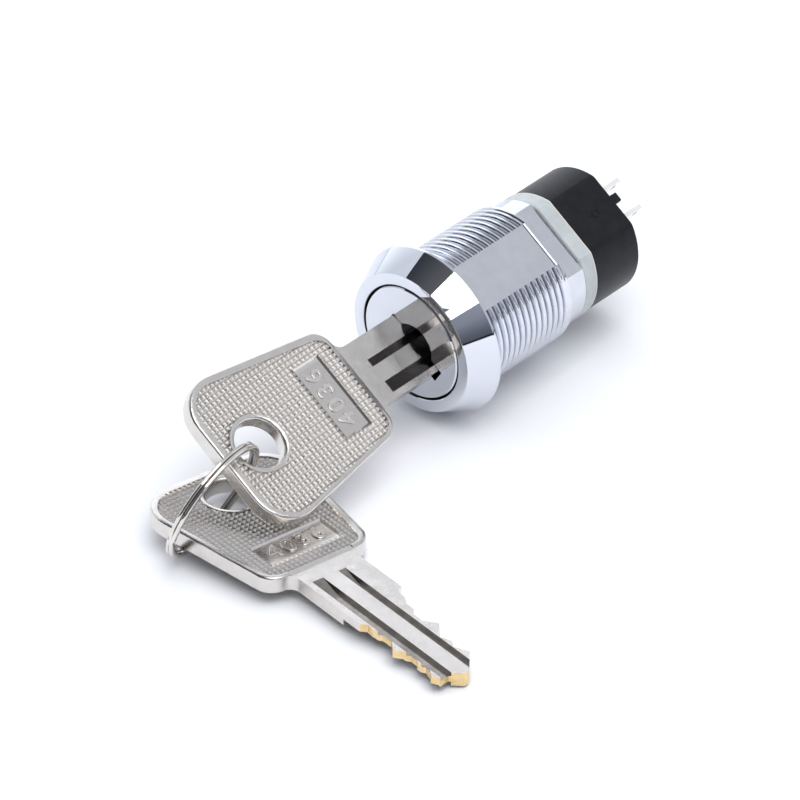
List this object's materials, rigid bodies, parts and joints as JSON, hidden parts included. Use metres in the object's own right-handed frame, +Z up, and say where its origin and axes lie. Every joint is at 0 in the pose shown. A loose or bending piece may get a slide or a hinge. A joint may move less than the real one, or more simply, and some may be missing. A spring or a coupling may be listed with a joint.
{
  "type": "key switch",
  "caption": "Threaded panel-mount selector key switch with its key in the wafer lock, a spare key on a split ring and rear solder terminals.",
  "frame": {"origin": "on the switch axis, in the plane of the bezel's back face that seats on the panel", "axes": "+Y along the switch from the key to the terminals, +Z up with the switch lying on its bezel rim, +X to the right seen from the key"},
  "size_m": [0.0548, 0.0827, 0.023],
  "materials": {
    "chrome_plate": "bright chrome over die-cast zinc",
    "plug_chrome": "polished chrome over die-cast zinc",
    "nylon": "milky moulded nylon",
    "black_moulding": "matt moulded black",
    "rotor_moulding": "moulded natural acetal",
    "wafer_brass": "stamped brass",
    "copper_contact": "stamped copper alloy",
    "terminal_silver": "silver plated",
    "steel": "zinc plated steel",
    "spring_steel": "drawn spring wire",
    "nickel_plate": "nickel plate over brass",
    "ring_steel": "nickel plated spring steel"
  },
  "bodies": {
    "switch_body": {"barrel": "chrome_plate", "stop_pin": "steel", "adapter_ring": "nylon", "housing": "black_moulding", "detent_spring": "spring_steel", "terminal_base": "black_moulding", "terminal_1": "terminal_silver", "terminal_2": "terminal_silver", "terminal_3": "terminal_silver", "terminal_4": "terminal_silver", "housing_screws": "steel"},
    "plug_and_rotor": {"plug": "plug_chrome", "wafer_springs": "spring_steel", "retaining_clip": "spring_steel", "rotor": "rotor_moulding", "contact_bridge_1": "copper_contact", "contact_bridge_2": "copper_contact", "contact_springs": "spring_steel"},
    "right_wafers": {"wafer_1": "wafer_brass", "wafer_3": "wafer_brass", "wafer_5": "wafer_brass", "wafer_7": "wafer_brass"},
    "left_wafers": {"wafer_2": "wafer_brass", "wafer_4": "wafer_brass", "wafer_6": "wafer_brass", "wafer_8": "wafer_brass"},
    "key": {"operating_key": "nickel_plate"},
    "ring": {"key_ring": "ring_steel"},
    "spare": {"spare_key": "nickel_plate"}
  },
  "joints": [
    {"name": "plug_turn", "type": "hinge", "parent": "switch_body", "child": "plug_and_rotor", "pos_m": [0, 0, 0], "axis": [0, -1, 0], "range_deg": [0, 90], "deforming": ["detent_spring"]},
    {"name": "key_withdraw", "type": "slide", "parent": "plug_and_rotor", "child": "key", "axis": [0, -1, 0], "range_m": [0, 0.024]},
    {"name": "right_wafer_slide", "type": "slide", "parent": "plug_and_rotor", "child": "right_wafers", "axis": [0.809, 0, -0.5878], "range_m": [0, 0.0007]},
    {"name": "left_wafer_slide", "type": "slide", "parent": "plug_and_rotor", "child": "left_wafers", "axis": [-0.809, 0, 0.5878], "range_m": [0, 0.0007]},
    {"name": "ring_swing", "type": "hinge", "parent": "key", "child": "ring", "pos_m": [0.0004, -0.0321, -0.00029], "axis": [0, 1, 0], "range_deg": [0, 20]},
    {"name": "spare_swing", "type": "hinge", "parent": "ring", "child": "spare", "pos_m": [0.00072, -0.04046, -0.00347], "axis": [-0.9062, -0.1452, 0.3971], "range_deg": [0, 60]}
  ],
  "couplings": [
    {"joint": "right_wafer_slide", "follows": "key_withdraw", "ratio": 0.029},
    {"joint": "left_wafer_slide", "follows": "key_withdraw", "ratio": 0.029}
  ]
}
